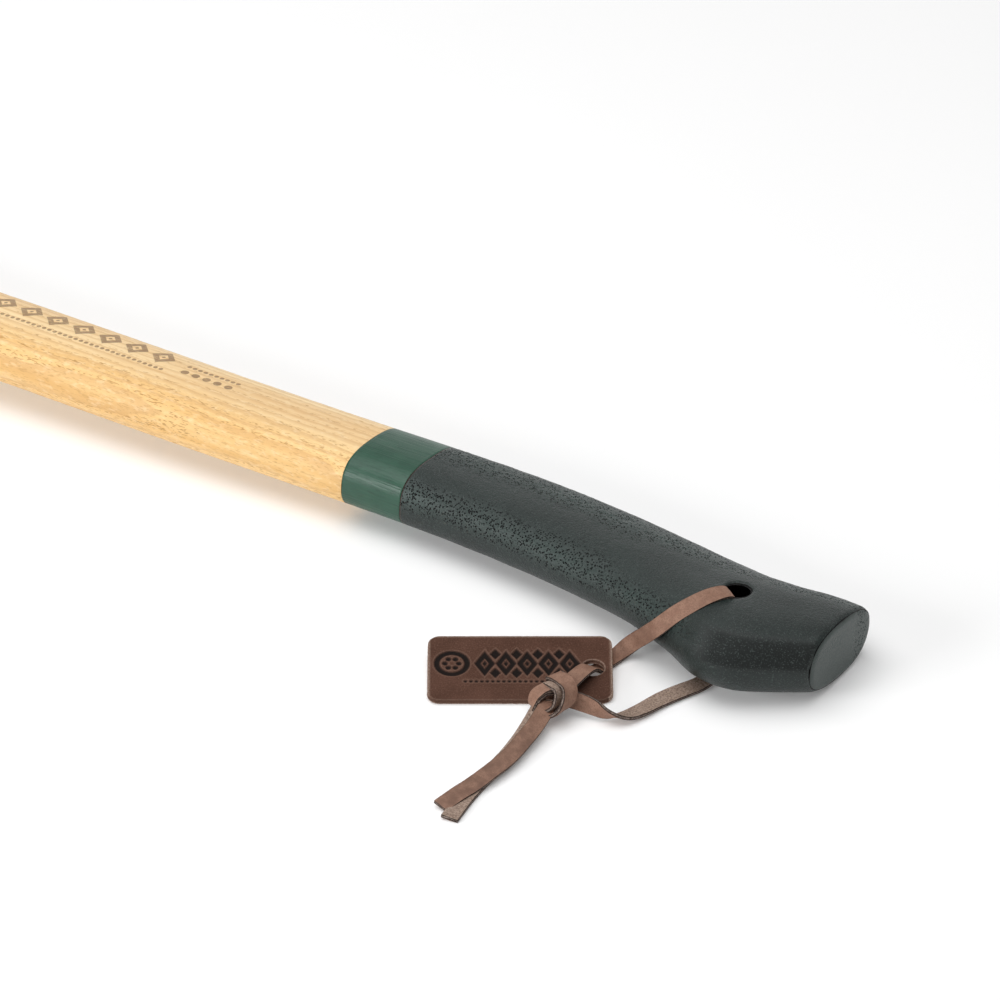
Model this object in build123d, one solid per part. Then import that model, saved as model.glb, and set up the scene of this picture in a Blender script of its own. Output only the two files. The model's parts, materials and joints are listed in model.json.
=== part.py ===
from build123d import *
import math
import os

# Hand adze, about 510 mm long, lying on its side with its leather lanyard laid out beside it.
# Millimetres.
#
# The tool is drawn first in its own axes: x runs down the haft from the head to the knob (0 is
# where the green band starts), y points to the back of the tool (the poll) and z is across it.
# It is then turned onto its three points of rest: the lower corner of the cutting edge, the
# poll's edge and the belly of the knob. The lanyard is drawn where it lies, in the final axes,
# whose origin is on the surface, under the middle of the tool.

# ---------------------------------------------------------------- driving dimensions
# Haft sections: x, front edge y, back edge y, thickness, squareness of the oval (2 is an ellipse)
HAFT = [
    (-262, -20.8, 20.0, 23.0, 2.4),
    (-225, -20.0, 19.2, 22.2, 2.7),
    (-150, -19.6, 18.9, 22.0, 2.75),
    (-75, -19.5, 18.8, 22.0, 2.75),
    (0, -18.7, 19.4, 22.0, 2.75),
    (24, -18.5, 19.8, 22.2, 2.8),
    (60, -20.7, 20.2, 22.0, 2.8),
    (95, -25.8, 18.3, 22.1, 2.55),
    (122, -32.1, 14.7, 22.5, 2.4),
    (142, -40.8, 11.1, 24.1, 2.35),
    (155, -47.2, 8.4, 25.7, 2.55),
    (167, -47.0, 7.9, 25.9, 2.7),
    (181, -38.6, 9.8, 24.6, 2.7),
    (191, -31.6, 10.0, 23.2, 2.5),
]
SECTION_POINTS = 16
BAND_START, BAND_END = 0.0, 23.6
COAT = 0.6                  # thickness of the paint band and of the grip's coating
RIM_ROUND = 2.4             # rounding round the knob's end face

BORE_X, BORE_Y, BORE_RADIUS = 154.3, -17.7, 4.5
HAFT_THICK_AT_BORE = 25.7
HAFT_NECK_X = -240.0        # where a rack would carry the tool, just below the head

# Head
EYE_TOP, EYE_FOOT = -312.0, -266.0
EYE_AT_FOOT = (40.0, 20.0)  # the oval eye, deep by wide; it opens towards the top
EYE_AT_TOP = (42.0, 22.0)
EYE_WALL_DEEP, EYE_WALL_WIDE = 8.0, 6.5
HAFT_TOP = -317.0           # the haft stands this far out of the eye
# Poll sections: y, centre x, height along x, width along z, corner radius
POLL = [(14, -289, 38, 31, 6), (30, -290, 27, 26, 5), (42, -291, 27, 27, 4), (52, -291.5, 30, 30, 3)]
POLL_CHAMFER = 1.6
# Blade sections: x, y, turn towards the haft in degrees, thickness, width, corner radius
BLADE = [
    (-290.0, -14, 0, 40.0, 30, 7.0),
    (-290.0, -36, 4, 25.0, 30, 6.0),
    (-286.5, -60, 11, 14.5, 36, 4.5),
    (-280.0, -84, 18, 9.0, 45, 3.0),
    (-269.5, -109, 25, 6.0, 56, 1.8),
]
BEVEL_LENGTH = 17.0
EDGE_THICKNESS = 0.5
EDGE_WIDTH = 65.0

WEDGE_LENGTH, WEDGE_DEPTH = 35.0, 30.0
WEDGE_THICK_TOP, WEDGE_THICK_TIP = 5.0, 1.4
RING_RADIUS, RING_WALL, RING_DEPTH = 8.4, 1.7, 10.0

# The belly of the knob, where it touches the surface that the tool lies on
KNOB_REST = (160.0, -10.0, -12.86)

# Lanyard. The lace is a flat strip 5.8 wide and 1.8 thick. Its solids are round tubes, thin enough
# to pass the tag's hole as the strip does on its edge.
LACE = 2.4
IN_BORE = (-0.7, -1.8)      # how far the lace lies from the bore's axis, to the front and left
BORE_STRETCH = (-7.0, 8.0)  # the part of the bore that holds the straight stretch of lace
UPPER_ROUTE = [
    (216.8, 19.4, 27.6), (215.6, 16.2, 30.0), (213.0, 8.8, 29.1), (209.9, 2.2, 27.3),
    (205.9, -1.6, 23.9), (201.4, -3.2, 19.5), (197.4, -1.2, 15.2), (194.0, 1.2, 11.2),
    (190.4, 3.2, 7.4), (187.2, 3.2, 4.0), (185.1, -0.8, 1.5), (184.3, -6.4, 1.4),
    (184.2, -12.6, 1.4), (184.3, -17.2, 6.3), (184.4, -24.6, 7.4), (184.3, -33.0, 7.2),
]
LOWER_ROUTE = [
    (216.2, 16.6, 3.4), (216.4, 13.8, 1.3), (217.5, 7.6, 1.3), (217.0, -0.6, 1.3),
    (213.6, -8.2, 1.3), (210.4, -16.0, 1.3), (208.4, -24.0, 1.4), (206.2, -31.0, 1.9),
    (201.6, -34.8, 3.2), (195.6, -34.6, 4.9), (188.6, -36.2, 5.8),
]
RIGHT_TAIL_ROUTE = [
    (184.2, -44.6, 5.4), (185.2, -51.0, 4.2), (186.2, -59.0, 3.8), (187.4, -70.5, 3.8),
    (188.4, -83.0, 3.6), (189.0, -95.0, 2.6), (187.6, -106.6, 1.4),
]
LEFT_TAIL_ROUTE = [
    (181.4, -43.8, 4.4), (181.0, -49.6, 1.9), (181.6, -57.0, 1.3), (183.2, -67.0, 1.3),
    (184.2, -78.0, 1.3), (183.4, -89.5, 1.3), (181.0, -103.0, 1.3),
]
KNOT_CENTRE = (183.4, -39.6, 6.1)
KNOT_HALF = (8.4, 7.0, 4.6)  # half sizes along the tag, across it and up

# Hang tag: its near left corner lies on the surface and the lace props its far side up
TAG_CORNER = (145.9, -56.3, 0.0)
TAG_HEADING, TAG_TILT = 31.9, 10.0
TAG_LENGTH, TAG_WIDTH, TAG_THICK = 60.8, 30.4, 2.0
TAG_CORNER_RADIUS = 4.0
TAG_HOLE_AT, TAG_HOLE_RADIUS = (54.4, 15.2), 3.7


# ---------------------------------------------------------------- sections
def haft_section(x, front, back, thick, square, inset=0.0):
    """A closed oval across the haft, squarer than an ellipse."""
    middle, deep, wide = (front + back) / 2, (back - front) / 2 - inset, thick / 2 - inset
    points = []
    for i in range(SECTION_POINTS):
        turn = math.tau * (i + 0.5) / SECTION_POINTS
        across = math.copysign(abs(math.cos(turn)) ** (2 / square), math.cos(turn))
        up = math.copysign(abs(math.sin(turn)) ** (2 / square), math.sin(turn))
        points.append((x, middle + deep * across, wide * up))
    return make_face(Spline(*points, periodic=True))


def haft_body(inset=0.0):
    return loft([haft_section(*row, inset=inset) for row in HAFT])


def slab(x0, x1):
    """A block that takes in all of the haft from x0 to x1."""
    return Pos((x0 + x1) / 2, 0, 0) * Box(x1 - x0, 200, 200)


def eye_plug(top, grow_deep=0.0, grow_wide=0.0, foot=EYE_FOOT):
    """The tapered oval of the eye, from the foot of the head up to a height."""
    rise = (top - EYE_FOOT) / (EYE_TOP - EYE_FOOT)
    ovals = []
    for x, part in ((foot, (foot - EYE_FOOT) / (EYE_TOP - EYE_FOOT)), (top, rise)):
        deep = EYE_AT_FOOT[0] + part * (EYE_AT_TOP[0] - EYE_AT_FOOT[0]) + 2 * grow_deep
        wide = EYE_AT_FOOT[1] + part * (EYE_AT_TOP[1] - EYE_AT_FOOT[1]) + 2 * grow_wide
        across = Plane(origin=(x, 0, 0), x_dir=(0, 1, 0), z_dir=(1, 0, 0))
        ovals.append(across * Ellipse(deep / 2, wide / 2))
    return loft(ovals)


# ---------------------------------------------------------------- pieces
def make_wedge():
    tip = HAFT_TOP + WEDGE_DEPTH
    side = [
        (HAFT_TOP, 0, -WEDGE_THICK_TOP / 2), (HAFT_TOP, 0, WEDGE_THICK_TOP / 2),
        (tip, 0, WEDGE_THICK_TIP / 2), (tip, 0, -WEDGE_THICK_TIP / 2),
    ]
    face = make_face(Polyline(*side, close=True))
    return extrude(face, amount=WEDGE_LENGTH / 2, dir=(0, 1, 0), both=True)


def make_ring():
    across = Plane(origin=(HAFT_TOP, 0, 0), x_dir=(0, 1, 0), z_dir=(1, 0, 0))
    ring = Circle(RING_RADIUS) - Circle(RING_RADIUS - RING_WALL)
    return extrude(across * ring, amount=RING_DEPTH, dir=(1, 0, 0))


def make_head():
    eye = eye_plug(EYE_TOP, EYE_WALL_DEEP, EYE_WALL_WIDE)
    poll_faces = []
    for y, x, high, wide, radius in POLL:
        across = Plane(origin=(x, y, 0), x_dir=(1, 0, 0), z_dir=(0, 1, 0))
        poll_faces.append(across * RectangleRounded(high, wide, radius))
    poll = loft(poll_faces)
    face_edges = poll.faces().sort_by(Axis.Y)[-1].edges()
    poll = chamfer(face_edges, POLL_CHAMFER)

    def blade_section(x, y, turn, thick, wide, radius):
        along = Vector(math.sin(math.radians(turn)), -math.cos(math.radians(turn)), 0)
        through = Vector(math.cos(math.radians(turn)), math.sin(math.radians(turn)), 0)
        across = Plane(origin=(x, y, 0), x_dir=through, z_dir=along)
        return across * RectangleRounded(thick, wide, radius), along, through

    blade = loft([blade_section(*row)[0] for row in BLADE])
    x, y, turn, thick, wide, radius = BLADE[-1]
    end, along, through = blade_section(*BLADE[-1])
    tip = Vector(x, y, 0) + along * BEVEL_LENGTH - through * (thick - EDGE_THICKNESS) / 2
    edge_plane = Plane(origin=tip, x_dir=through, z_dir=along)
    edge = edge_plane * RectangleRounded(EDGE_THICKNESS, EDGE_WIDTH, EDGE_THICKNESS * 0.45)
    bevel = loft([end, edge], ruled=True)
    head = eye + poll + blade + bevel
    head -= eye_plug(EYE_TOP - 1, foot=EYE_FOOT + 1)
    corner = tip + Vector(0, 0, -EDGE_WIDTH / 2)
    return head, corner


def make_haft(wedge, ring):
    body = haft_body() & slab(HAFT[0][0], BAND_START)
    cored = haft_body(COAT) & slab(BAND_START, HAFT[-1][0] - COAT)
    tongue = eye_plug(HAFT_TOP, foot=HAFT[0][0] + 1)
    haft = body + cored + tongue - wedge - ring
    return haft - bore()


def bore():
    return Pos(BORE_X, BORE_Y, 0) * Cylinder(BORE_RADIUS, 60)


def make_band():
    return (haft_body() - haft_body(COAT)) & slab(BAND_START, BAND_END)


def make_coating():
    outer = haft_body() & slab(BAND_END, HAFT[-1][0] + 1)
    rim = outer.faces().sort_by(Axis.X)[-1].edges()
    outer = fillet(rim, RIM_ROUND)
    core = haft_body(COAT) & slab(BAND_END - 1, HAFT[-1][0] - COAT)
    return outer - core - bore()


def resting_turn(corner, poll_edge, belly):
    """Pitch and roll that bring three points of the tool to the same height."""
    up = (poll_edge - corner).cross(belly - corner).normalized()
    if up.Z < 0:
        up = -up
    return -math.degrees(math.asin(up.X)), math.degrees(math.atan2(up.Y, up.Z))


# ---------------------------------------------------------------- lanyard
def bend_radii(route):
    """The largest even bend at each corner, from its shorter run and its turn."""
    radii = []
    for before, corner, after in zip(route, route[1:], route[2:]):
        first, second = Vector(corner) - Vector(before), Vector(after) - Vector(corner)
        half_turn = math.radians(first.get_angle(second)) / 2
        radii.append(0.45 * min(first.length, second.length) / math.tan(half_turn))
    return radii


def lace_tube(name, route):
    radii = bend_radii(route)
    path = FilletPolyline(*route, radius=radii) if radii else Polyline(*route)
    start = Plane(origin=route[0], z_dir=Vector(route[1]) - Vector(route[0]))
    tube = sweep(start * Circle(LACE / 2), path=path)
    expected = math.pi * (LACE / 2) ** 2 * path.length
    print(f"{name}: length {path.length:.1f}, volume {tube.volume:.1f} of {expected:.1f}, radii",
          [round(radius, 1) for radius in radii])
    return tube


def bore_lace_ends(place):
    """Where the straight stretch of lace in the bore ends, at the bottom and at the top."""
    height = HAFT_THICK_AT_BORE / 2
    ends = []
    for z in (-height - BORE_STRETCH[0], height - BORE_STRETCH[1]):
        point = place * Pos(BORE_X, BORE_Y, z)
        ends.append(point.position + Vector(*IN_BORE, 0))
    return [tuple(end) for end in ends]


def tag_place():
    return Pos(*TAG_CORNER) * Rot(Z=TAG_HEADING) * Rot(X=TAG_TILT)


def make_tag():
    plate = RectangleRounded(TAG_LENGTH, TAG_WIDTH, TAG_CORNER_RADIUS)
    outline = Pos(TAG_LENGTH / 2, TAG_WIDTH / 2) * plate
    hole = Pos(*TAG_HOLE_AT) * Circle(TAG_HOLE_RADIUS)
    return tag_place() * extrude(outline - hole, amount=TAG_THICK)


def make_knot():
    ball = scale(Sphere(1), by=KNOT_HALF)
    return Pos(*KNOT_CENTRE) * Rot(Z=TAG_HEADING) * ball


# ---------------------------------------------------------------- assembly
head, blade_corner = make_head()
poll_y, poll_x, poll_high, poll_wide, poll_radius = POLL[-1]
poll_corner = Vector(poll_x + poll_high / 2 - poll_radius, poll_y - POLL_CHAMFER, -poll_wide / 2)
pitch, roll = resting_turn(blade_corner, poll_corner, Vector(*KNOB_REST))
turned = Rot(Y=pitch) * Rot(X=roll)
wedge = make_wedge()
ring = make_ring()
tool = {
    "haft": make_haft(wedge, ring),
    "colour_band": make_band(),
    "grip_coating": make_coating(),
    "adze_head": head,
    "wooden_wedge": wedge - ring,
    "ring_wedge": ring,
}
box = Compound([turned * piece for piece in tool.values()]).bounding_box(optimal=True)
to_base = Pos(-(box.min.X + box.max.X) / 2, -(box.min.Y + box.max.Y) / 2, -box.min.Z)
rest = to_base * turned
nodes = {name: rest * piece for name, piece in tool.items()}

low_end, high_end = bore_lace_ends(rest)
nodes["lace_in_bore"] = lace_tube("lace_in_bore", [low_end, high_end])
nodes["lace_upper"] = lace_tube("lace_upper", [high_end] + UPPER_ROUTE)
nodes["lace_lower"] = lace_tube("lace_lower", [low_end] + LOWER_ROUTE)
nodes["lace_tail_right"] = lace_tube("lace_tail_right", RIGHT_TAIL_ROUTE)
nodes["lace_tail_left"] = lace_tube("lace_tail_left", LEFT_TAIL_ROUTE)
nodes["lace_knot"] = make_knot()
nodes["hang_tag"] = make_tag()

print(f"pitch {pitch:.4f}, roll {roll:.4f}, tool's own origin at", rest.position)
bore_half = HAFT_THICK_AT_BORE / 2
print("bore from", (rest * Pos(BORE_X, BORE_Y, -bore_half)).position,
      "to", (rest * Pos(BORE_X, BORE_Y, bore_half)).position)
print("tag pivot", (tag_place() * Pos(*TAG_HOLE_AT, TAG_THICK / 2)).position,
      "axis", Plane(tag_place()).z_dir)
end_x, end_front, end_back = HAFT[-1][:3]
print("poll face", (rest * Pos(poll_x, poll_y, 0)).position, "normal", Plane(rest).y_dir)
print("butt face", (rest * Pos(end_x, (end_front + end_back) / 2, 0)).position,
      "normal", Plane(rest).x_dir)
print("haft below the head", (rest * Pos(HAFT_NECK_X, 0, 0)).position)
os.makedirs("parts", exist_ok=True)
for name, solid in nodes.items():
    export_step(solid, f"parts/{name}.step")
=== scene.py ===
"""Looks of a hand adze: oiled ash haft, green band, dip-coated grip, forged head, leather lanyard
and hang tag. Lengths are in metres.
"""

import json
import math

import bmesh
import bpy
import numpy as np
from mathutils import Matrix, Vector, noise
from mathutils.geometry import delaunay_2d_cdt


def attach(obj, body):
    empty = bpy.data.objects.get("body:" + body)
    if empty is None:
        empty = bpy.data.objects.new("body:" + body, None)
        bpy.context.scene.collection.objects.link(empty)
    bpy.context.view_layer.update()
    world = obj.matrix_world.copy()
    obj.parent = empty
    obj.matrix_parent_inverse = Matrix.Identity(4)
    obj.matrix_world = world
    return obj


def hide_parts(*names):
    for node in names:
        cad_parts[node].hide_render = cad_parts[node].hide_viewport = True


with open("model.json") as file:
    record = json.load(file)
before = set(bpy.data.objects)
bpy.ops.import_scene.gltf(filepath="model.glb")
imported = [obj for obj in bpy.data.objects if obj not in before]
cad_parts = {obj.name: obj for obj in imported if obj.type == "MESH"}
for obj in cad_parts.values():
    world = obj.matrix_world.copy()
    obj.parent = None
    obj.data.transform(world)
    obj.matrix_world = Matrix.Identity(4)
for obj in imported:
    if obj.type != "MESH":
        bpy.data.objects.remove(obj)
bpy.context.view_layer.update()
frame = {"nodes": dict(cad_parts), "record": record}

# -------------------- camera
CAMERA_AZIMUTH, CAMERA_ELEVATION = math.radians(31.8976), math.radians(32.2406)
CAMERA_DISTANCE = 1.8
CAMERA_TARGET = Vector((0.10065, 0.06146, 0.00074))
CAMERA_LENS = 186.85

# -------------------- the tool's own axes
# x runs down the haft from the head to the knob, with 0 at the start of the green band, y points
# to the poll and z is across the tool. The record's mounts give these axes in the frame.
NECK_X = -0.240


def mount(name):
    return next(m for m in frame["record"]["mounts"] if m["name"] == name)


def tool_axes():
    x = Vector(mount("haft_below_head")["axis"]).normalized()
    y = Vector(mount("poll_face")["axis"])
    y = (y - y.dot(x) * x).normalized()
    turned = Matrix((x, y, x.cross(y))).transposed().to_4x4()
    origin = Vector(mount("haft_below_head")["pos_m"]) - NECK_X * x
    return Matrix.Translation(origin) @ turned


TOOL = tool_axes()

# Haft sections: x, front edge y, back edge y, thickness, squareness of the oval (2 is an ellipse)
HAFT = [
    (-0.075, -0.0195, 0.0188, 0.0220, 2.75),
    (0.000, -0.0187, 0.0194, 0.0220, 2.75),
    (0.024, -0.0185, 0.0198, 0.0222, 2.8),
    (0.060, -0.0207, 0.0202, 0.0220, 2.8),
    (0.095, -0.0258, 0.0183, 0.0221, 2.55),
    (0.122, -0.0321, 0.0147, 0.0225, 2.4),
    (0.142, -0.0408, 0.0111, 0.0241, 2.35),
    (0.155, -0.0472, 0.0084, 0.0257, 2.55),
    (0.167, -0.0470, 0.0079, 0.0259, 2.7),
    (0.181, -0.0386, 0.0098, 0.0246, 2.7),
    (0.191, -0.0316, 0.0100, 0.0232, 2.5),
]
BAND_START, BAND_END, BUTT_END = 0.0, 0.0236, 0.191
COAT = 0.0006
RIM_ROUND = 0.0024
BORE_X, BORE_Y, BORE_RADIUS = 0.1543, -0.0177, 0.0045
BORE_LIP = 0.0005           # how far the mouth of the bore is rounded
# The surface between BORE_CORE and BORE_SPREAD from the bore's axis is drawn out to its mouth
BORE_CORE, BORE_SPREAD = 0.0034, 0.0110
BORE_TALL = 1.16            # the mouth is this much longer across the haft than along it
BORE_HALF = 0.004           # points nearer than this to the middle plane are beside the bore

# The grip's mesh: spacing of its rings, points round each, rings on its rounded rim and its end
GRIP_STEP, GRIP_AROUND, RIM_RINGS, FACE_RINGS = 0.00066, 164, 8, 22
# Relief of the coating: noise scales per metre, then heights
GRAIN_FINE, GRAIN_COARSE, SWELL_SCALE, PIT_SCALE = 900, 480, 110, 1150
GRAIN_HEIGHT, GRAIN_IN_PITS, SWELL_HEIGHT, PIT_DEPTH = 0.00005, 0.00018, 0.00010, 0.0008
COAT_SINK, BORE_SINK = 0.00003, 0.0001      # it is set in by this, and by more at the bore

# Growth rings of the ash: how far in front of the haft's axis they are centred, rings per metre,
# and how far they sway
RING_CENTRE, RINGS_PER_METRE, RING_SWAY = 0.052, 290.0, 0.016

# The ornament burnt into the haft: where it starts, the pitch of its lozenges, and its height
MARK_START, MARK_PITCH, MARK_Y = -0.1775, 0.0115, 0.0052
MARK_LOZENGE = (0.0049, 0.0054)             # half its length and half its height
# Rows of dots: how far below MARK_Y, their pitch and their radius
LONG_DOTS, UPPER_DOTS = (0.0084, 0.0023, 0.00080), (0.0006, 0.0023, 0.00085)
LOWER_DOTS = (0.0052, 0.0046, 0.00150)
MARK_ABOVE = 0.004                          # it is only on the side that faces up

# Steel of the head: y where the ground edge starts and ends its blend, and the same at the poll
EDGE_GROUND, POLL_GROUND = (-0.0875, -0.0895), (0.0495, 0.0502)

# -------------------- lanyard
LACE_WIDTH, LACE_THICK = 0.0058, 0.0013
LACE_CROWN = 0.0001         # how much the smooth side bulges
# Noise scale per metre and height: the cut edges, and both sides
EDGE_RAG, SIDE_RAG = (700, 0.00008), (1500, 0.00004)
# Each point of a lace: x, y, z, and the way that its smooth side faces there
BORE_HIGH = (0.21669, 0.01867, 0.01850)
BORE_LOW = (0.21649, 0.01760, 0.00785)
UPPER_ROUTE = [
    (BORE_HIGH, (0.5, 0.85, 0)),
    ((0.2172, 0.0184, 0.0258), (0.5, 0.85, 0.1)),
    ((0.2162, 0.0164, 0.0280), (0.25, 0.1, 0.95)),
    ((0.2127, 0.0104, 0.0281), (0.15, -0.35, 0.9)),
    ((0.2095, 0.0042, 0.0269), (0.2, -0.5, 0.8)),
    ((0.2057, 0.0002, 0.0241), (0.2, -0.6, 0.7)),
    ((0.2014, -0.0032, 0.0195), (0.0, -0.85, 0.4)),
    ((0.1974, -0.0012, 0.0152), (-0.1, -0.95, 0.1)),
    ((0.1940, 0.0012, 0.0112), (-0.1, -0.95, 0.1)),
    ((0.1904, 0.0032, 0.0074), (0.1, -0.9, 0.3)),
    ((0.1872, 0.0032, 0.0040), (0.25, -0.75, 0.6)),
    ((0.1851, -0.0008, 0.0015), (0.1, -0.3, 0.95)),
    ((0.1843, -0.0064, 0.0012), (0, 0, 1)),
    ((0.1842, -0.0126, 0.0014), (0, 0.3, 0.9)),
    ((0.1843, -0.0172, 0.0063), (0, 0.3, 0.8)),
    ((0.1844, -0.0246, 0.0074), (0.1, -0.1, 1)),
    ((0.1843, -0.0330, 0.0072), (0.2, -0.3, 0.9)),
]
LOWER_ROUTE = [
    (BORE_LOW, (0, 1, 0)),
    ((0.2162, 0.0166, 0.0034), (0, 0.9, -0.4)),
    ((0.2164, 0.0138, 0.0013), (0, 0.4, -0.9)),
    ((0.2175, 0.0076, 0.0011), (0, 0, -1)),
    ((0.2170, -0.0006, 0.0013), (-0.1, 0.2, -1)),
    ((0.2136, -0.0082, 0.0016), (-0.1, 0.3, -0.95)),
    ((0.2104, -0.0160, 0.0016), (-0.1, 0.3, -0.95)),
    ((0.2084, -0.0240, 0.0016), (0, 0.1, -1)),
    ((0.2062, -0.0310, 0.0021), (0, -0.4, -0.9)),
    ((0.2016, -0.0348, 0.0034), (0.02, -0.85, -0.45)),
    ((0.1956, -0.0346, 0.0049), (0.2, -0.95, 0.25)),
    ((0.1886, -0.0362, 0.0058), (0.35, -0.8, 0.5)),
]
# The right tail leaves the knot above the left one and crosses it, so that the ends fan out
RIGHT_TAIL_ROUTE = [
    ((0.1830, -0.0408, 0.0048), (0.4, -0.4, 0.85)),
    ((0.1846, -0.0470, 0.0050), (0.4, -0.4, 0.85)),
    ((0.1859, -0.0544, 0.0045), (0.4, -0.4, 0.85)),
    ((0.1863, -0.0611, 0.0039), (0.35, -0.4, 0.85)),
    ((0.1869, -0.0701, 0.0034), (0.3, -0.35, 0.9)),
    ((0.1866, -0.0762, 0.0031), (0.25, -0.3, 0.9)),
    ((0.1861, -0.0804, 0.0030), (0.2, -0.2, 0.95)),
    ((0.1846, -0.0899, 0.0023), (0.25, -0.25, 0.95)),
    ((0.1829, -0.0968, 0.0021), (0.2, -0.2, 0.95)),
    ((0.1816, -0.1042, 0.0016), (0.2, -0.2, 0.95)),
]
LEFT_TAIL_ROUTE = [
    ((0.1816, -0.0446, 0.0040), (-0.2, 0.2, -1)),
    ((0.1834, -0.0556, 0.0021), (-0.1, 0.1, -1)),
    ((0.1843, -0.0662, 0.0012), (0, 0, -1)),
    ((0.1845, -0.0732, 0.0009), (0, 0, -1)),
    ((0.1845, -0.0805, 0.0008), (0, 0, -1)),
    ((0.1845, -0.0868, 0.0008), (0, 0, -1)),
    ((0.1852, -0.0964, 0.0008), (0, 0, -1)),
    ((0.1870, -0.1076, 0.0010), (-0.15, 0.15, -1)),
]
KNOT_CENTRE = Vector((0.1834, -0.0396, 0.0061))
KNOT_INNER = 0.70           # size of the second lace's course in the knot, within the first's
KNOT_OFFSET = (-0.0010, -0.0004, 0.0)       # the second lace of the knot stands off to the left
KNOT_ROUTE = [
    ((0.1842, -0.0295, 0.0064), (0.1, -0.1, 1)),
    ((0.1835, -0.0320, 0.0064), (0.1, -0.1, 1)),
    ((0.1818, -0.0355, 0.0077), (-0.1, -0.2, 1)),
    ((0.1800, -0.0388, 0.0084), (-0.35, -0.45, 0.8)),
    ((0.1788, -0.0418, 0.0075), (-0.4, -0.7, 0.6)),
    ((0.1787, -0.0438, 0.0054), (-0.6, -0.75, 0.3)),
    ((0.1798, -0.0446, 0.0030), (-0.6, -0.5, -0.6)),
    ((0.1819, -0.0439, 0.0016), (-0.1, -0.2, -1)),
    ((0.1831, -0.0383, 0.0013), (0, 0, -1)),
    ((0.1822, -0.0307, 0.0014), (-0.2, 0.4, -0.9)),
    ((0.1808, -0.0264, 0.0026), (-0.4, 0.7, -0.5)),
    ((0.1790, -0.0273, 0.0052), (-0.7, 0.6, 0.1)),
    ((0.1779, -0.0304, 0.0080), (-0.7, 0.4, 0.5)),
    ((0.1818, -0.0325, 0.0100), (-0.2, 0.1, 0.95)),
    ((0.1862, -0.0348, 0.0106), (0.1, 0, 1)),
    ((0.1894, -0.0379, 0.0100), (0.65, 0.05, 0.72)),
    ((0.1902, -0.0408, 0.0080), (0.98, -0.1, 0.1)),
    ((0.1889, -0.0429, 0.0054), (0.76, -0.05, -0.45)),
    ((0.1865, -0.0446, 0.0030), (0.4, -0.3, -0.85)),
    ((0.1838, -0.0439, 0.0020), (-0.1, -0.1, -1)),
    ((0.1819, -0.0411, 0.0030), (-0.6, 0.4, -0.6)),
    ((0.1817, -0.0392, 0.0046), (-0.2, 0.5, 0.5)),
    ((0.1830, -0.0412, 0.0050), (0.4, -0.4, 0.85)),
]

# Hang tag: its near left corner, heading and tilt, sizes and hole
TAG = (
    Matrix.Translation((0.1459, -0.0563, 0.0))
    @ Matrix.Rotation(math.radians(31.9), 4, "Z")
    @ Matrix.Rotation(math.radians(10.0), 4, "X")
)
TAG_LENGTH, TAG_WIDTH, TAG_THICK = 0.0608, 0.0304, 0.0020
TAG_CORNER = 0.0040         # radius
TAG_HOLE, TAG_HOLE_RADIUS = (0.0544, 0.0152), 0.0037
TAG_SHADED_NEAR = 0.0020           # the cut side nearer than this is darkened like the face, as painted shade
TAG_INSET = 0.0006          # the top face ends this far inside the outline and outside the hole
TAG_STEP = 0.00042          # spacing of the top face's points
TAG_PRESS, TAG_RIDGE = 0.00032, 0.00006     # depth of the ornament, height of the ridge round it
TAG_SINK = 0.00005          # the top face is this much lower than the tag is thick
# Noise scale per metre and height: the face's grain, its slow swell, and the cut side
TAG_GRAIN, TAG_SWELL, TAG_RAG = (900, 0.00003), (160, 0.00005), (900, 0.00008)
# The cut side from the top face's edge round to the underside: inset, depth and paleness
TAG_SIDE = [
    (0.00024, 0.00008, 0.45), (0.00006, 0.00026, 0.30), (0.0, 0.00060, 0.12),
    (0.0, 0.00100, 0.10), (0.0, 0.00135, 0.25), (-0.00010, 0.00165, 0.95),
    (0.00005, 0.00192, 1.0),
]

# -------------------- light
# Area lights that face LIGHT_TARGET: name, place, size and power in watts
LIGHT_TARGET = (0.1, 0.0, 0.0)
LIGHTS = [
    ("key", (-0.50, -1.25, 0.55), (0.7, 0.4), 11.5),
    ("overhead", (-0.05, -0.25, 1.6), (2.2, 1.6), 25.0),
    ("back", (-0.5, 1.8, 0.35), (2.4, 0.4), 4.0),
]
# The sky's strength along y of the direction, from dim in front to bright at the back
SKY = {"From Min": -0.8, "From Max": 0.4, "To Min": 0.08, "To Max": 0.37}
FLOOR_HALF, FLOOR_GLOW = 6.0, 0.13


# -------------------- meshes
def clipped(value):
    """The value kept within 0 and 1."""
    return min(max(value, 0.0), 1.0)


def add_object(name, data):
    """A new object in the scene."""
    made = bpy.data.objects.new(name, data)
    bpy.context.scene.collection.objects.link(made)
    return made


def make_piece(name, points, faces, body, place=None):
    """A smooth mesh piece that rides on a body. Its points are in the axes of place."""
    mesh = bpy.data.meshes.new(name)
    mesh.from_pydata([tuple(p) for p in points], [], faces)
    mesh.validate()
    mesh.shade_smooth()
    piece = add_object(name, mesh)
    if place is not None:
        piece.matrix_world = place
    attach(piece, body)
    return piece


def set_mark(piece, name, values):
    """A number for each point of a piece, which its material reads."""
    mark = piece.data.attributes.new(name, "FLOAT", "POINT")
    mark.data.foreach_set("value", np.asarray(values, np.float32))


def tube_faces(rings, around, closed_ends=True):
    """Quads between rings of points, and one flat face at each end."""
    faces = []
    for i in range(rings - 1):
        for j in range(around):
            k = (j + 1) % around
            here, there = i * around, (i + 1) * around
            faces.append((here + j, here + k, there + k, there + j))
    if closed_ends:
        faces.append(tuple(reversed(range(around))))
        faces.append(tuple((rings - 1) * around + j for j in range(around)))
    return faces


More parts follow.
